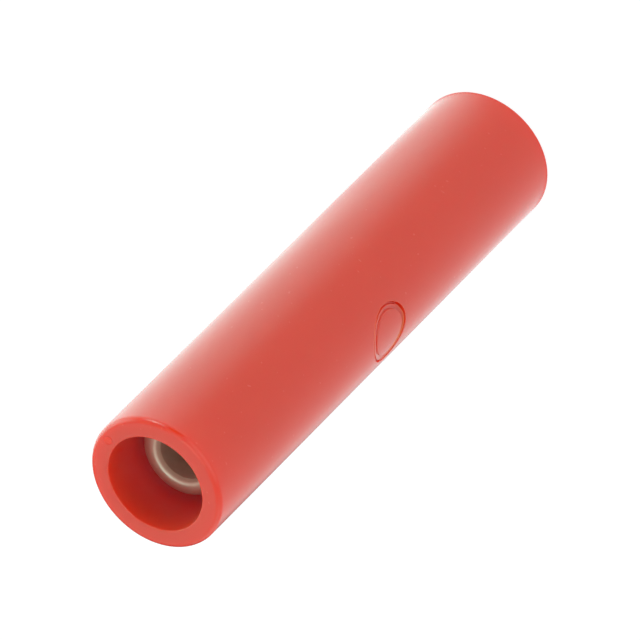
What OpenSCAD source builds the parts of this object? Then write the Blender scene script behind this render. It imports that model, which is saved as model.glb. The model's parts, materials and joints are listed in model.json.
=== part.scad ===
// Insulated in-line coupler for two 4 mm banana plugs.
// A turned contact tube has a socket drilled into each end, and a moulded sleeve holds it.
// Each end of the tube stands in the bottom of a round mouth, out of reach of a finger.
// The coupler stands on its lower end face: Z is its axis, and Z = 0 is that face.

/* [Sleeve] */
// Outside diameter of the sleeve
sleeve_d = 11; // [10:0.1:14]
// Length of the sleeve, from end face to end face
sleeve_len = 49.2; // [48:0.1:60]
// Rounding of the outer edge at each end
edge_round = 0.45; // [0.1:0.05:0.6]

/* [Mouths] */
// Diameter of the mouth at each end
mouth_d = 7.9; // [7.2:0.1:8]
// Depth of the mouth, from the end face to its floor
mouth_depth = 5.1; // [4.5:0.1:6]
// Rounding of the mouth's edge
mouth_edge_round = 0.1; // [0.05:0.05:0.15]
// Rounding where the mouth's wall meets its floor
floor_round = 0.3; // [0.1:0.05:0.3]

/* [Contact tube] */
// Outside diameter of the tube
tube_d = 6.5; // [6.1:0.1:6.5]
// Depth of the tube's rim below the end face
rim_depth = 3.8; // [3:0.1:4]
// Radius that rounds the rim's crest on its inner side
rim_lip = 0.35; // [0.2:0.05:0.4]
// Radius of the rim's slope on the outer side of the crest
rim_crown = 1.8; // [1.5:0.1:3]
// Width of the lead-in cone at the socket's edge
lead_in = 0.12; // [0.1:0.02:0.2]
// Angle between the lead-in cone and the axis
lead_in_angle = 30; // [20:1:45]

/* [Sockets] */
// Diameter of the socket, for a standard plug
socket_d = 4; // [3.5:0.1:4]
// Depth of the socket's round wall, from the rim
socket_depth = 17; // [15:0.5:17.5]
// Angle of the drill's point, as left at the bottom of the socket
drill_point = 118; // [90:1:140]

/* [Anchor] */
// Width of the groove round the middle of the tube, which the moulding fills
anchor_width = 2; // [1:0.5:4]
// Depth of that groove
anchor_depth = 0.4; // [0.1:0.1:0.8]

/* [Plain mark] */
// Diameter of the ring pressed into the side of the sleeve
mark_d = 4.7; // [3:0.1:5]
// Width of the ring's line
mark_line = 0.15; // [0.1:0.05:0.3]
// Depth of the ring's line
mark_depth = 0.3; // [0.15:0.05:0.3]
// Width of the band next to the line, on its inner side
mark_band = 0.35; // [0.2:0.05:0.5]
// Depth of the band
band_depth = 0.14; // [0.1:0.01:0.15]
// Depth of the smooth field inside the ring
field_depth = 0.05; // [0.05:0.01:0.1]
// Direction that the mark faces, in degrees from +X
mark_azimuth = 217; // [0:1:359]
// Height of the middle of the mark
mark_height = 24.3; // [10:0.1:38]

/* [Gate mark] */
// Diameter of the dimple where the moulding's gate was, in the upper end face
gate_d = 0.8; // [0.4:0.1:0.9]
// Depth of the dimple
gate_depth = 0.06; // [0.03:0.01:0.1]
// Distance of the dimple from the axis
gate_reach = 4.65; // [4.5:0.05:4.7]
// Direction of the dimple, in degrees from +X
gate_azimuth = 3; // [0:1:359]

/* [Hidden] */

$fn = 120;
// How far a cut runs past the surface that it opens
clear = 1;
sleeve_r = sleeve_d / 2;
mouth_r = mouth_d / 2;
tube_r = tube_d / 2;
socket_r = socket_d / 2;
mid_z = sleeve_len / 2;
tube_len = sleeve_len - 2 * rim_depth;
// Radius at which the rim stands highest
crest_r = socket_r + lead_in + rim_lip * cos(lead_in_angle);
// How far the rim falls from its crest to the lead-in and to the outside of the tube
lip_drop = rim_lip * (1 - sin(lead_in_angle));
crown_drop = rim_crown - sqrt(pow(rim_crown, 2) - pow(tube_r - crest_r, 2));
// Depth below the rim at which the lead-in meets the socket's wall
lead_in_end = lip_drop + lead_in / tan(lead_in_angle);
point_len = socket_r / tan(drill_point / 2);
// Radius of the ball that the dimple is a cap of
gate_ball_r = (pow(gate_d / 2, 2) + pow(gate_depth, 2)) / (2 * gate_depth);

// A profile lies in the half plane where X is the radius and Y the height.
// What is drawn for the lower end is drawn again, turned over, for the upper end.
module at_both_ends() {
    children();
    translate([0, sleeve_len])
        mirror([0, 1])
            children();
}

// What comes off to round a corner at the origin that has its material to the left and above
module round_off(r) {
    difference() {
        translate([-r, -clear])
            square([r + clear, r + clear]);
        translate([-r, r])
            circle(r);
    }
}

// The mouth's hollow, with the rounded corner of the core pin that forms it
module mouth_hollow() {
    difference() {
        translate([0, -clear])
            square([mouth_r, mouth_depth + clear]);
        translate([mouth_r, mouth_depth])
            mirror([0, 1])
                round_off(floor_round);
    }
}

// The groove round the middle of the tube
module anchor_groove() {
    translate([tube_r - anchor_depth, mid_z - anchor_width / 2])
        square([anchor_depth + clear, anchor_width]);
}

// The straight outside of the tube, long enough to run through the sleeve
module tube_outside() {
    difference() {
        square([tube_r, sleeve_len]);
        anchor_groove();
    }
}

module sleeve_profile() {
    difference() {
        square([sleeve_r, sleeve_len]);
        at_both_ends() {
            translate([sleeve_r, 0])
                round_off(edge_round);
            translate([mouth_r, 0])
                mirror([1, 0])
                    round_off(mouth_edge_round);
            mouth_hollow();
        }
        tube_outside();
    }
}

// What is turned and drilled away at the tube's lower end
module rim_and_socket() {
    translate([0, rim_depth]) {
        // the slope, from the crest to the outside
        difference() {
            translate([crest_r, -clear])
                square([tube_r - crest_r + clear, crown_drop + clear]);
            translate([crest_r, rim_crown])
                circle(rim_crown);
        }
        // the lip, from the crest to the lead-in
        difference() {
            translate([0, -clear])
                square([crest_r, lip_drop + clear]);
            translate([crest_r, rim_lip])
                circle(rim_lip);
        }
        // the lead-in cone, down to the socket's edge
        polygon([[0, 0], [socket_r + lead_in, lip_drop], [socket_r, lead_in_end], [0, lead_in_end]]);
        // the socket's wall and the cone below it
        square([socket_r, socket_depth]);
        polygon([[0, socket_depth], [socket_r, socket_depth], [0, socket_depth + point_len]]);
    }
}

module tube_profile() {
    difference() {
        translate([0, rim_depth])
            square([tube_r, tube_len]);
        at_both_ends()
            rim_and_socket();
        anchor_groove();
    }
}

// The outer layer of the sleeve, down to the given depth
module skin(depth) {
    difference() {
        cylinder(h = sleeve_len, r = sleeve_r + clear);
        translate([0, 0, -clear])
            cylinder(h = sleeve_len + 2 * clear, r = sleeve_r - depth);
    }
}

// A round bar that points out of the side of the sleeve where the mark is
module mark_bar(d) {
    translate([0, 0, mark_height])
        rotate([0, 90, mark_azimuth])
            cylinder(h = sleeve_r + 2 * clear, d = d);
}

// What the punch presses away over the whole of a round bar, down to the given depth
module pressed(d, depth) {
    intersection() {
        mark_bar(d);
        skin(depth);
    }
}

// A ring of that: its outside, and how far it reaches inwards
module pressed_ring(d, width, depth) {
    intersection() {
        difference() {
            mark_bar(d);
            mark_bar(d - 2 * width);
        }
        skin(depth);
    }
}

// The mark follows the curve of the sleeve: a field, a band round it and a deeper line outside
module plain_mark() {
    pressed(mark_d, field_depth);
    pressed_ring(mark_d, mark_line + mark_band, band_depth);
    pressed_ring(mark_d, mark_line, mark_depth);
}

module gate_dimple() {
    rotate(gate_azimuth)
        translate([gate_reach, 0, sleeve_len - gate_depth + gate_ball_r])
            sphere(gate_ball_r);
}

module insulating_sleeve() {
    color("#cc2a20")
        difference() {
            rotate_extrude()
                sleeve_profile();
            plain_mark();
            gate_dimple();
        }
}

module contact_tube() {
    color("#b8ab9c")
        rotate_extrude()
            tube_profile();
}

insulating_sleeve();
contact_tube();
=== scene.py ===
# The looks of an insulated in-line coupler for two 4 mm banana plugs.
# A plated contact tube stands in the mouths of a glossy red moulded sleeve.
# The coupler stands on its lower end: Z is its axis, and lengths are in metres.

import json
import math

import bmesh
import bpy
from mathutils import Matrix, Vector


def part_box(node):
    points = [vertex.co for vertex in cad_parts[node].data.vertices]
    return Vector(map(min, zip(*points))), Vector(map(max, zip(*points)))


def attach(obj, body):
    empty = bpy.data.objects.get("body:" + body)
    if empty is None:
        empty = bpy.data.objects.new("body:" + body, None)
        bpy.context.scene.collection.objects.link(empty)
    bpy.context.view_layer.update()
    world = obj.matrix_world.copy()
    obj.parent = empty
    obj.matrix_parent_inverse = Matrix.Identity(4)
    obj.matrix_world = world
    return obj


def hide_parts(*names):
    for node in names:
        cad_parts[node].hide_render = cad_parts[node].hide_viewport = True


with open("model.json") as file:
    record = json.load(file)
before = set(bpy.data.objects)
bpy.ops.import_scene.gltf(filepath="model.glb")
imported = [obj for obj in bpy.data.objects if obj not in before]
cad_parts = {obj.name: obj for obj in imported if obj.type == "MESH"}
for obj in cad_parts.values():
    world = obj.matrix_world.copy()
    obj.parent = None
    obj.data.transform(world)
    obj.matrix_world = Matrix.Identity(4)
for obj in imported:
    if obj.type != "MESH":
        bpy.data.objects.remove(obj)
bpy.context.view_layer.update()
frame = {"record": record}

MM = 0.001

# The sleeve's main sizes come from the frame, and its finer ones are the construction's own
_, SLEEVE_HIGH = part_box("insulating_sleeve")
SLEEVE_R = SLEEVE_HIGH.y
SLEEVE_LEN = SLEEVE_HIGH.z
MID_Z = SLEEVE_LEN / 2
EDGE_ROUND = 0.45 * MM
MOUTH_R = 3.95 * MM
MOUTH_DEPTH = 5.1 * MM
MOUTH_EDGE_ROUND = 0.1 * MM
FLOOR_ROUND = 0.3 * MM

# The contact tube
TUBE_LOW, TUBE_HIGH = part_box("contact_tube")
TUBE_R = TUBE_HIGH.y
RIM_DEPTH = TUBE_LOW.z
SOCKET_R = frame["record"]["mounts"][0]["dims"]["r_mm"] * MM
SOCKET_DEPTH = 17 * MM
DRILL_POINT = math.radians(118)
RIM_LIP = 0.35 * MM
RIM_CROWN = 1.8 * MM
LEAD_IN = 0.12 * MM
LEAD_IN_ANGLE = math.radians(30)
ANCHOR_WIDTH = 2 * MM
ANCHOR_DEPTH = 0.4 * MM

# The plain round mark on the side of the sleeve
MARK_AZIMUTH = math.radians(217)
MARK_Z = 24.3 * MM
MARK_R = 2.35 * MM
# The punch leaned this way round the mark, and the other side has this share of the ring's depth
MARK_LEAN = math.radians(-110)
MARK_SHALLOW = 0.35
# Depth against the distance in from the ring's outside: a deep line, then a band that slopes
MARK_PROFILE = (
    (0 * MM, 0 * MM),
    (0.04 * MM, 0.3 * MM),
    (0.12 * MM, 0.3 * MM),
    (0.18 * MM, 0.06 * MM),
    (0.46 * MM, 0.22 * MM),
    (0.5 * MM, 0.22 * MM),
    (0.54 * MM, 0.05 * MM),
)
MARK_FIELD_DEPTH = 0.05 * MM

# The dimple where the moulding's gate was, in the upper end face
GATE_R = 0.4 * MM
GATE_DEPTH = 0.06 * MM
GATE_REACH = 4.65 * MM
GATE_AZIMUTH = math.radians(3)
GATE_MIDDLE = Vector(
    (GATE_REACH * math.cos(GATE_AZIMUTH), GATE_REACH * math.sin(GATE_AZIMUTH), SLEEVE_LEN)
)

# How finely the forms are made
SLEEVE_STEPS = 240
TUBE_STEPS = 192
RIM_STEPS = 12
EDGE_SEGMENTS = 12
MOUTH_EDGE_SEGMENTS = 5
FLOOR_SEGMENTS = 6
# The mark and the dimple each lie in a patch with this half width, cut into rows and columns
MARK_PATCH = 2.6 * MM
MARK_ROWS = 200
MARK_COLUMNS = 5
GATE_PATCH = 1.4 * GATE_R
GATE_ROWS = 27
GATE_COLUMNS = 3
# An edge that turns by more than this stays sharp
SHARP = math.radians(28)
# Two lengths that differ by less than this are the same
CLOSE = 0.003 * MM

# The plastic: it clouds between two reds and has specks. Over that are painted shade on the wall
# of a mouth, painted light on its bottom by the tube, and painted shading in the gate's dimple
PLASTIC_DEEP = (0.555, 0.024, 0.006, 1)
PLASTIC_BRIGHT = (0.575, 0.028, 0.008, 1)
PLASTIC_SPECK = (0.60, 0.05, 0.025, 1)
WALL_SHADE_RED = (0.575, 0.034, 0.032, 1)
BOTTOM_LIGHT_RED = (0.56, 0.07, 0.075, 1)
GATE_SHADING_RED = (0.65, 0.030, 0.004, 1)
# The noise between which a speck fades in, and the depths between which a mouth's painted shade and
# light do
SPECK_FADE = (0.82, 0.87)
WALL_SHADE_FADE = (0, 4 * MM)
BOTTOM_LIGHT_FADE = (3.4 * MM, 4.8 * MM)
# Waves of its noises over a metre
CLOUD_WAVES = 150
SPECK_WAVES = 3200
GLOSS_WAVES = 700
TEXTURE_WAVES = 2600
# Its roughness, and what noise, the mouths and the dimple add to that
PLASTIC_ROUGHNESS = 0.14
NOISE_ROUGHNESS = 0.08
MOUTH_ROUGHNESS = 0.26
GATE_ROUGHNESS = 0.2
PLASTIC_IOR = 1.48
# Red light goes this far into it, and green and blue a share of that
LIGHT_DEPTH = 3.7 * MM
LIGHT_SHARES = (1, 0.2, 0.1)
# The height of its texture
PLASTIC_BUMP = 0.004 * MM

# The nickel plate: it clouds between two warm greys, and goes from matt to satin between two
# distances out from the socket's wall
PLATE_DARK = (0.58, 0.42, 0.33, 1)
PLATE_PALE = (0.68, 0.50, 0.39, 1)
PLATE_FADE = (0.05 * MM, 0.3 * MM)
MATT_ROUGHNESS = 0.8
SATIN_ROUGHNESS = 0.45
# What noise adds to its roughness, waves of its noises over a metre, and the height of its texture
PLATE_NOISE_ROUGHNESS = 0.12
PLATE_CLOUD_WAVES = 900
PLATE_GLOSS_WAVES = 2500
PLATE_TEXTURE_WAVES = 5000
PLATE_BUMP = 0.003 * MM

# The photograph's camera, with its lens and its sensor in millimetres
AIM = Vector((-0.037, 0.304, 24.902)) * MM
CAMERA_DISTANCE = 863.16 * MM
CAMERA_ELEVATION = math.radians(45.185)
CAMERA_ROLL = math.radians(-134.964)
CAMERA_LENS = 655.3
CAMERA_SENSOR = 36

# The studio: even light from the room and the table, and lamps that add to it. A lamp is its
# azimuth, elevation and half width in degrees, and its gain. One with a gain below nothing is a
# shade, and takes light away.
ROOM_LIGHT = 0.94
ROOM_LAMPS = (
    (33, 15, 36, 2.95),
    (90, 0, 35, -0.7),
    (90, 48, 28, 0.55),
    (150, 20, 40, 0.8),
    (250, 20, 50, 1.1),
    (300, 18, 20, -1.3),
    (332, 15, 18, 6.0),
    (0, 90, 22, 1.8),
)
TABLE_LIGHT = 1.02
TABLE_LAMPS = (
    (8, 0, 80, 1.05),
    (52, 0, 35, -0.22),
    (110, 0, 25, -0.4),
)
# These light parts of the table as seen from the coupler's top
TABLE_END_LAMPS = (
    (45, -10, 30, 1.5),
    (100, -12, 50, -0.8),
    (42, -76, 14, -0.55),
    (88, -45, 16, -0.7),
)
# The share of a lamp's light in red, green and blue: it has less red than the even light
LAMP_TINT = (0.28, 1, 0.96)
# Right beside the coupler the table is dim, and lit by its red
CONTACT_LIGHT = (0.75, 0.2, 0.2, 1)
CONTACT_REACH = 0.4 * MM
# The table as the camera sees it, its paper without the light, and its half width
TABLE_WHITE = (0.92, 0.92, 0.92, 1)
TABLE_PAPER = (0.12, 0.12, 0.12, 1)
TABLE_ROUGHNESS = 0.9
TABLE_SIZE = 0.6


# Shader arithmetic

class Wire:
    """One output of a node. Arithmetic on it adds Math nodes."""

    def __init__(self, finish, socket):
        self.finish = finish
        self.socket = socket

    def math(self, operation, *values):
        values = dict(enumerate((self, *values)))
        return self.finish.node("Math", {"operation": operation}, values)

    def __add__(self, other):
        return self.math("ADD", other)

    def __sub__(self, other):
        return self.math("SUBTRACT", other)

    def __rsub__(self, other):
        return self * -1 + other

    def __mul__(self, other):
        return self.math("MULTIPLY", other)

    def __lt__(self, other):
        return self.math("LESS_THAN", other)

    def __abs__(self):
        return self.math("ABSOLUTE")

    __radd__ = __add__
    __rmul__ = __mul__


class Finish:
    """The nodes of a material or of the room, with one method that adds any node."""

    def __init__(self, owner):
        self.owner = owner
        owner.use_nodes = True
        self.tree = owner.node_tree
        self.tree.nodes.clear()

    def node(self, kind, settings=None, sockets=None, output=0):
        """Adds a node, sets it up, fills its sockets with values or wires, and gives one output."""
        made = self.tree.nodes.new("ShaderNode" + kind)
        for name, value in (settings or {}).items():
            setattr(made, name, value)
        for name, value in (sockets or {}).items():
            if isinstance(value, Wire):
                self.tree.links.new(value.socket, made.inputs[name])
            else:
                made.inputs[name].default_value = value
        return Wire(self, made.outputs[output]) if made.outputs else None

    def vector_math(self, operation, *vectors, output="Vector"):
        settings = {"operation": operation}
        return self.node("VectorMath", settings, dict(enumerate(vectors)), output)

    def fade(self, value, start, end, first=0, last=1, smooth=True):
        """Goes from first to last while the value goes from start to end."""
        return self.node(
            "MapRange",
            {"interpolation_type": "SMOOTHSTEP" if smooth else "LINEAR"},
            {"Value": value, "From Min": start, "From Max": end, "To Min": first, "To Max": last},
        )

    def mix(self, share, first, second):
        """A blend of two colours."""
        return self.node(
            "Mix", {"data_type": "RGBA"}, {"Factor": share, 6: first, 7: second}, output=2
        )

    def noise(self, waves, detail=2):
        """Soft noise round one half, with its waves counted over a metre."""
        sockets = {"Vector": self.place(), "Scale": waves, "Detail": detail}
        return self.node("TexNoise", sockets=sockets, output="Fac")

    def bump(self, height, distance):
        return self.node("Bump", sockets={"Height": height, "Distance": distance})

    def place(self):
        """The point on the piece, in the object's own frame."""
        return self.node("TexCoord", output="Object")

    def radius(self):
        """How far the point is from the coupler's axis."""
        across = self.vector_math("MULTIPLY", self.place(), (1, 1, 0))
        return self.vector_math("LENGTH", across, output="Value")

    def depth(self):
        """How far the point is from the nearer end face, along the axis."""
        height = self.node("SeparateXYZ", sockets={0: self.place()}, output="Z")
        return MID_Z - abs(height - MID_Z)

    def in_mouth(self):
        """One on the walls and floors of the mouths, and zero outside them."""
        return self.radius() < MOUTH_R + MOUTH_EDGE_ROUND / 2

    def in_dimple(self):
        """One in the gate's dimple, and zero round it."""
        away = self.vector_math("DISTANCE", self.place(), GATE_MIDDLE, output="Value")
        return self.fade(away, GATE_R, GATE_R / 2)

    def lamps(self, towards, level, lamps):
        """A level of light, and what each lamp adds to it round its own direction."""
        for azimuth, elevation, width, gain in lamps:
            facing = self.vector_math(
                "DOT_PRODUCT", towards, direction(azimuth, elevation), output="Value"
            )
            lobe = self.fade(facing, math.cos(math.radians(width)), 1, last=gain)
            level = lobe + level
        return level

    def tinted(self, glow, even):
        """The light's colour: the even level and the shades are white, and the lamps tinted."""
        lit = (glow - even).math("MAXIMUM", 0)
        parts = [glow - (1 - share) * lit for share in LAMP_TINT]
        return self.node("CombineColor", sockets=dict(zip(("Red", "Green", "Blue"), parts)))

    def surface(self, **sockets):
        """Ends the material in one Principled shader."""
        named = {name.replace("_", " "): value for name, value in sockets.items()}
        shader = self.node("BsdfPrincipled", sockets=named)
        self.node("OutputMaterial", sockets={"Surface": shader})
        return self.owner


def direction(azimuth, elevation):
    """The unit vector with this azimuth and elevation, in degrees."""
    azimuth, elevation = math.radians(azimuth), math.radians(elevation)
    return (
        math.cos(azimuth) * math.cos(elevation),
        math.sin(azimuth) * math.cos(elevation),
        math.sin(elevation),
    )


def sleeve_plastic():
    """Glossy red moulded polyamide: faint clouding, a fine moulding texture and a few specks, with
    painted shade and light in the mouths and painted shading in the gate's dimple.
    """
    finish = Finish(bpy.data.materials.new("red_polyamide"))
    clouds = finish.noise(CLOUD_WAVES)
    colour = finish.mix(clouds, PLASTIC_DEEP, PLASTIC_BRIGHT)
    specks = finish.fade(finish.noise(SPECK_WAVES, detail=0), *SPECK_FADE, smooth=False)
    colour = finish.mix(specks, colour, PLASTIC_SPECK)
    mouth = finish.in_mouth()
    # Painted shade: the mouth's wall takes on a shaded red, more of it the deeper in it is
    wall = mouth * finish.fade(finish.depth(), *WALL_SHADE_FADE)
    colour = finish.mix(wall, colour, WALL_SHADE_RED)
    # Painted light: by the tube, the mouth's bottom turns a paler red, as lit by the metal's
    # reflection
    bottom = mouth * finish.fade(finish.depth(), *BOTTOM_LIGHT_FADE)
    colour = finish.mix(bottom, colour, BOTTOM_LIGHT_RED)
    # Painted shading: the gate's dimple is a brighter, deeper red, in place of the shade its slopes
    # would give
    gate = finish.in_dimple()
    colour = finish.mix(gate, colour, GATE_SHADING_RED)
    gloss = PLASTIC_ROUGHNESS + NOISE_ROUGHNESS * finish.noise(GLOSS_WAVES)
    texture = finish.noise(TEXTURE_WAVES, detail=3)
    return finish.surface(
        Base_Color=colour,
        Roughness=gloss + MOUTH_ROUGHNESS * mouth + GATE_ROUGHNESS * gate,
        IOR=PLASTIC_IOR,
        Subsurface_Weight=1.0,
        Subsurface_Radius=LIGHT_SHARES,
        Subsurface_Scale=LIGHT_DEPTH,
        Normal=finish.bump(texture, PLASTIC_BUMP),
    )


def contact_metal():
    """Nickel plate over turned brass: warm grey, satin on the rim and matt in the socket."""
    finish = Finish(bpy.data.materials.new("nickel_plate"))
    clouds = finish.noise(PLATE_CLOUD_WAVES)
    from_wall, to_wall = (SOCKET_R + reach for reach in PLATE_FADE)
    gloss = finish.fade(
        finish.radius(), from_wall, to_wall, MATT_ROUGHNESS, SATIN_ROUGHNESS, smooth=False
    )
    texture = finish.noise(PLATE_TEXTURE_WAVES)
    return finish.surface(
        Base_Color=finish.mix(clouds, PLATE_DARK, PLATE_PALE),
        Metallic=1.0,
        Roughness=gloss + PLATE_NOISE_ROUGHNESS * finish.noise(PLATE_GLOSS_WAVES),
        Normal=finish.bump(texture, PLATE_BUMP),
    )


# Modelling helpers

def close(first, second):
    return abs(first - second) < CLOSE


def turn_from(azimuth, vert):
    """The angle round the axis from an azimuth to the vertex, at most half a turn either way."""
    turn = math.atan2(vert.co.y, vert.co.x) - azimuth
    return (turn + math.pi) % (2 * math.pi) - math.pi


def turned(outline, steps):
    """A bmesh of an outline of (radius, height) points turned round Z. An outline that starts and
    ends on the axis stays open there, and any other is closed."""
    form = bmesh.new()
    points = [form.verts.new((radius, 0, height)) for radius, height in outline]
    pairs = list(zip(points, points[1:]))
    if outline[0][0] > 0:
        pairs.append((points[-1], points[0]))
    lines = [form.edges.new(pair) for pair in pairs]
    bmesh.ops.spin(
        form,
        geom=points + lines,
        cent=(0, 0, 0),
        axis=(0, 0, 1),
        angle=2 * math.pi,
        steps=steps,
        use_merge=True,
    )
    bmesh.ops.remove_doubles(form, verts=form.verts, dist=CLOSE)
    bmesh.ops.recalc_face_normals(form, faces=form.faces)
    return form


def edges_within(form, holds):
    """The edges with both ends at places that the test holds for."""
    return [edge for edge in form.edges if all(holds(vert) for vert in edge.verts)]


def round_ring(form, radius, height, size, segments):
    """Rounds the corner that runs round the axis through (radius, height)."""
    def on_ring(vert):
        return close(vert.co.xy.length, radius) and close(vert.co.z, height)

    bmesh.ops.bevel(
        form,
        geom=edges_within(form, on_ring),
        offset=size,
        segments=segments,
        profile=0.5,
        affect="EDGES",
        material=-1,
    )


def refine(form, inside, runs_first, first_cuts, second_cuts):
    """Cuts the patch whose corners are inside into a fine grid: first the edges that run one way,
    and then those that join them."""
    first = [edge for edge in edges_within(form, inside) if runs_first(edge)]
    bmesh.ops.subdivide_edges(form, edges=first, cuts=first_cuts, use_grid_fill=True)
    second = [edge for edge in edges_within(form, inside) if not runs_first(edge)]
    bmesh.ops.subdivide_edges(form, edges=second, cuts=second_cuts, use_grid_fill=True)


def finished(form, name, material, node):
    """Makes the bmesh a piece that stands for a node of the construction."""
    for face in form.faces:
        face.smooth = True
    for edge in form.edges:
        if edge.calc_face_angle(0) > SHARP:
            edge.smooth = False
    mesh = bpy.data.meshes.new(name)
    form.to_mesh(mesh)
    form.free()
    mesh.materials.append(material)
    piece = bpy.data.objects.new(name, mesh)
    bpy.context.scene.collection.objects.link(piece)
    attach(piece, "root")
    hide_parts(node)
    return piece


# The sleeve

def press_dimple(form):
    """Presses the gate's dimple, a shallow round cap, into the upper end face."""
    ball = (GATE_R ** 2 + GATE_DEPTH ** 2) / (2 * GATE_DEPTH)
    inner, outer = MOUTH_R + MOUTH_EDGE_ROUND, SLEEVE_R - EDGE_ROUND

    def on_face(vert):
        return (
            inner - CLOSE < vert.co.xy.length < outer + CLOSE
            and close(vert.co.z, SLEEVE_LEN)
            and abs(turn_from(GATE_AZIMUTH, vert)) * inner < GATE_PATCH
        )

    def runs_outwards(edge):
        return not close(edge.verts[0].co.xy.length, edge.verts[1].co.xy.length)

    refine(form, on_face, runs_outwards, GATE_ROWS, GATE_COLUMNS)
    for vert in form.verts:
        away = (vert.co.xy - GATE_MIDDLE.xy).length
        if on_face(vert) and away < GATE_R:
            vert.co.z -= math.sqrt(ball ** 2 - away ** 2) - (ball - GATE_DEPTH)


def mark_depth_at(across, up):
    """How deep the mark is at a place round its middle. The punch has pressed the ring in a little
    askew, and the field inside it evenly."""
    inwards = MARK_R - math.hypot(across, up)
    if inwards <= 0:
        return 0
    depth = MARK_FIELD_DEPTH
    for (near, near_depth), (far, far_depth) in zip(MARK_PROFILE, MARK_PROFILE[1:]):
        if near <= inwards < far:
            depth = near_depth + (far_depth - near_depth) * (inwards - near) / (far - near)
    side = 0.5 + 0.5 * math.cos(math.atan2(up, across) - MARK_LEAN)
    pressed = MARK_SHALLOW + (1 - MARK_SHALLOW) * side
    return min(depth, MARK_FIELD_DEPTH) + max(depth - MARK_FIELD_DEPTH, 0) * pressed


def press_mark(form):
    """Presses the plain ring and the field inside it into the side of the sleeve."""
    low, high = MARK_Z - MARK_PATCH, MARK_Z + MARK_PATCH
    for height in (low, high):
        bmesh.ops.bisect_plane(
            form,
            geom=form.verts[:] + form.edges[:] + form.faces[:],
            plane_co=(0, 0, height),
            plane_no=(0, 0, 1),
        )

    def near_mark(vert):
        return (
            abs(turn_from(MARK_AZIMUTH, vert)) * SLEEVE_R < MARK_PATCH
            and vert.co.xy.length > SLEEVE_R - CLOSE
            and low - CLOSE < vert.co.z < high + CLOSE
        )

    def upright(edge):
        return not close(edge.verts[0].co.z, edge.verts[1].co.z)

    refine(form, near_mark, upright, MARK_ROWS, MARK_COLUMNS)
    for vert in form.verts:
        if near_mark(vert):
            across = SLEEVE_R * math.sin(turn_from(MARK_AZIMUTH, vert))
            radius = SLEEVE_R - mark_depth_at(across, vert.co.z - MARK_Z)
            azimuth = math.atan2(vert.co.y, vert.co.x)
            vert.co.x = radius * math.cos(azimuth)
            vert.co.y = radius * math.sin(azimuth)


def insulating_sleeve(material):
    """The sleeve, with a mouth at each end and a rib inside its middle."""
    top = SLEEVE_LEN
    rib_low, rib_high = MID_Z - ANCHOR_WIDTH / 2, MID_Z + ANCHOR_WIDTH / 2
    form = turned(
        [
            (SLEEVE_R, 0),
            (SLEEVE_R, top),
            (MOUTH_R, top),
            (MOUTH_R, top - MOUTH_DEPTH),
            (TUBE_R, top - MOUTH_DEPTH),
            (TUBE_R, rib_high),
            (TUBE_R - ANCHOR_DEPTH, rib_high),
            (TUBE_R - ANCHOR_DEPTH, rib_low),
            (TUBE_R, rib_low),
            (TUBE_R, MOUTH_DEPTH),
            (MOUTH_R, MOUTH_DEPTH),
            (MOUTH_R, 0),
        ],
        SLEEVE_STEPS,
    )
    for end, bottom in ((0, MOUTH_DEPTH), (top, top - MOUTH_DEPTH)):
        round_ring(form, SLEEVE_R, end, EDGE_ROUND, EDGE_SEGMENTS)
        round_ring(form, MOUTH_R, end, MOUTH_EDGE_ROUND, MOUTH_EDGE_SEGMENTS)
        round_ring(form, MOUTH_R, bottom, FLOOR_ROUND, FLOOR_SEGMENTS)
    press_mark(form)
    press_dimple(form)
    return finished(form, "sleeve", material, "insulating_sleeve")


# The contact tube

def rim_outline():
    """The lower rim, from the socket's wall over the crest and down to the tube's side."""
    lean = math.pi / 2 - LEAD_IN_ANGLE
    crest = SOCKET_R + LEAD_IN + RIM_LIP * math.sin(lean)
    lip_drop = RIM_LIP * (1 - math.cos(lean))
    spread = math.asin((TUBE_R - crest) / RIM_CROWN)
    outline = [(SOCKET_R, RIM_DEPTH + lip_drop + LEAD_IN / math.tan(LEAD_IN_ANGLE))]
    for radius, first, last in ((RIM_LIP, -lean, 0), (RIM_CROWN, 0, spread)):
        for step in range(RIM_STEPS + 1):
            turn = first + (last - first) * step / RIM_STEPS
            drop = radius * (1 - math.cos(turn))
            outline.append((crest + radius * math.sin(turn), RIM_DEPTH + drop))
    return outline


def contact_tube(material):
    """The tube, with a drilled socket in each end and a groove round its middle."""
    lower_end = [
        (0, RIM_DEPTH + SOCKET_DEPTH + SOCKET_R / math.tan(DRILL_POINT / 2)),
        (SOCKET_R, RIM_DEPTH + SOCKET_DEPTH),
        *rim_outline(),
        (TUBE_R, MID_Z - ANCHOR_WIDTH / 2),
        (TUBE_R - ANCHOR_DEPTH, MID_Z - ANCHOR_WIDTH / 2),
    ]
    upper_end = [(radius, SLEEVE_LEN - height) for radius, height in reversed(lower_end)]
    form = turned(lower_end + upper_end, TUBE_STEPS)
    return finished(form, "tube", material, "contact_tube")


# The stage

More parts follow.
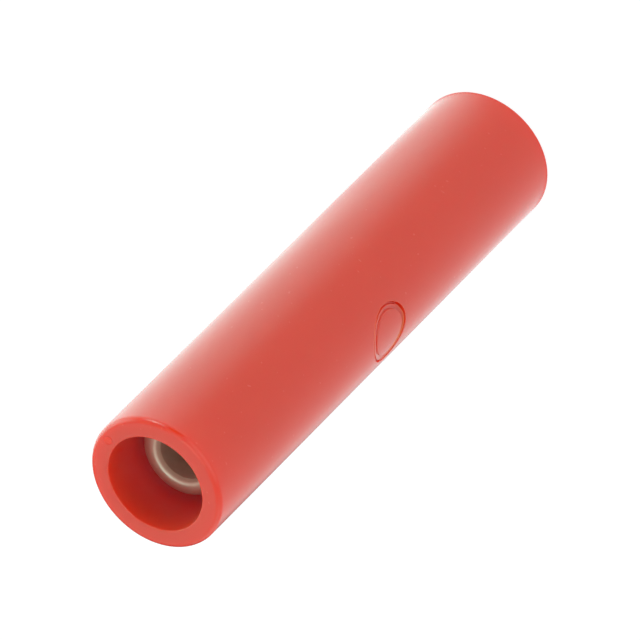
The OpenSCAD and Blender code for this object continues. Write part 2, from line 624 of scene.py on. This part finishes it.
def camera():
    """The camera, at the photograph's angle and distance."""
    data = bpy.data.cameras.new("camera")
    data.lens = CAMERA_LENS
    data.sensor_width = CAMERA_SENSOR
    eye = bpy.data.objects.new("camera", data)
    bpy.context.scene.collection.objects.link(eye)
    tilt = Matrix.Rotation(math.pi / 2 - CAMERA_ELEVATION, 4, "X")
    back = tilt @ Vector((0, 0, CAMERA_DISTANCE))
    roll = Matrix.Rotation(CAMERA_ROLL, 4, "Z")
    eye.matrix_world = Matrix.Translation(AIM + back) @ tilt @ roll
    bpy.context.scene.camera = eye


def light_table():
    """White paper lit from below. The camera sees it evenly white, while the coupler is lit by it
    a little unevenly, as by a lamp at one side of the table."""
    finish = Finish(bpy.data.materials.new("light_table"))
    outwards = finish.vector_math("NORMALIZE", finish.place())
    below_top = finish.vector_math("SUBTRACT", finish.place(), (0, 0, SLEEVE_LEN))
    downwards = finish.vector_math("NORMALIZE", below_top)
    glow = finish.lamps(outwards, TABLE_LIGHT, TABLE_LAMPS)
    glow = finish.lamps(downwards, glow, TABLE_END_LAMPS)
    light = finish.tinted(glow, TABLE_LIGHT)
    contact = finish.fade(finish.radius(), SLEEVE_R + CONTACT_REACH, SLEEVE_R, smooth=False)
    light = finish.mix(contact, light, CONTACT_LIGHT)
    seen = finish.node("LightPath", output="Is Camera Ray")
    return finish.surface(
        Base_Color=TABLE_PAPER,
        Roughness=TABLE_ROUGHNESS,
        Specular_IOR_Level=0.0,
        Emission_Color=finish.mix(seen, light, TABLE_WHITE),
        Emission_Strength=1.0,
    )


def floor():
    """The table, which isn't part of the coupler."""
    form = bmesh.new()
    bmesh.ops.create_grid(form, x_segments=1, y_segments=1, size=TABLE_SIZE)
    mesh = bpy.data.meshes.new("floor")
    form.to_mesh(mesh)
    form.free()
    mesh.materials.append(light_table())
    plane = bpy.data.objects.new("floor", mesh)
    bpy.context.scene.collection.objects.link(plane)


def room():
    """A pale room with soft lamps round the table."""
    world = bpy.data.worlds.new("room")
    finish = Finish(world)
    towards = finish.node("TexCoord", output="Generated")
    glow = finish.lamps(towards, ROOM_LIGHT, ROOM_LAMPS)
    background = finish.node("Background", sockets={"Color": finish.tinted(glow, ROOM_LIGHT)})
    finish.node("OutputWorld", sockets={"Surface": background})
    bpy.context.scene.world = world
    bpy.context.scene.view_settings.view_transform = "Standard"


camera()
room()
floor()
insulating_sleeve(sleeve_plastic())
contact_tube(contact_metal())
